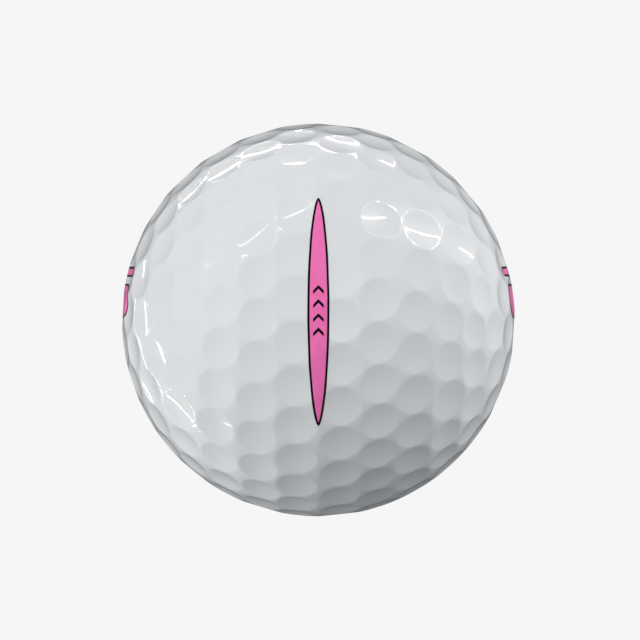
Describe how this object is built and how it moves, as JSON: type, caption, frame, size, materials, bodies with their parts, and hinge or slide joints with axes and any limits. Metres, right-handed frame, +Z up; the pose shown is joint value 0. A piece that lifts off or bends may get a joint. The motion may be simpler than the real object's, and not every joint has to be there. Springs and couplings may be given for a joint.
{
  "type": "golf ball",
  "caption": "White dimpled golf ball of layered construction: rubber core, firm mantle, thin cast cover in two halves, pink alignment stripe and pole badges.",
  "frame": {"origin": "centre of the ball", "axes": "+X along the polar axis, out of the right cover half; the seam lies in the plane X = 0; -Y out of the alignment stripe; +Z up"},
  "size_m": [0.0428, 0.0427, 0.0428],
  "materials": {
    "inner_core_rubber": "matte moulded rubber",
    "outer_core_rubber": "matte ground rubber",
    "mantle_ionomer": "satin moulded ionomer",
    "cover_urethane": "painted white with a gloss clear coat",
    "pink_ink": "pad-printed ink under gloss clear coat",
    "black_ink": "pad-printed ink under gloss clear coat"
  },
  "bodies": {
    "root": {"inner_core": "inner_core_rubber", "outer_core_right": "outer_core_rubber", "outer_core_left": "outer_core_rubber", "mantle": "mantle_ionomer", "cover_right": "cover_urethane", "cover_left": "cover_urethane", "stripe_band": "pink_ink", "stripe_outline": "black_ink", "stripe_chevrons": "black_ink", "right_badge": "pink_ink", "right_badge_outline": "black_ink", "left_badge": "pink_ink", "left_badge_outline": "black_ink"}
  },
  "joints": []
}
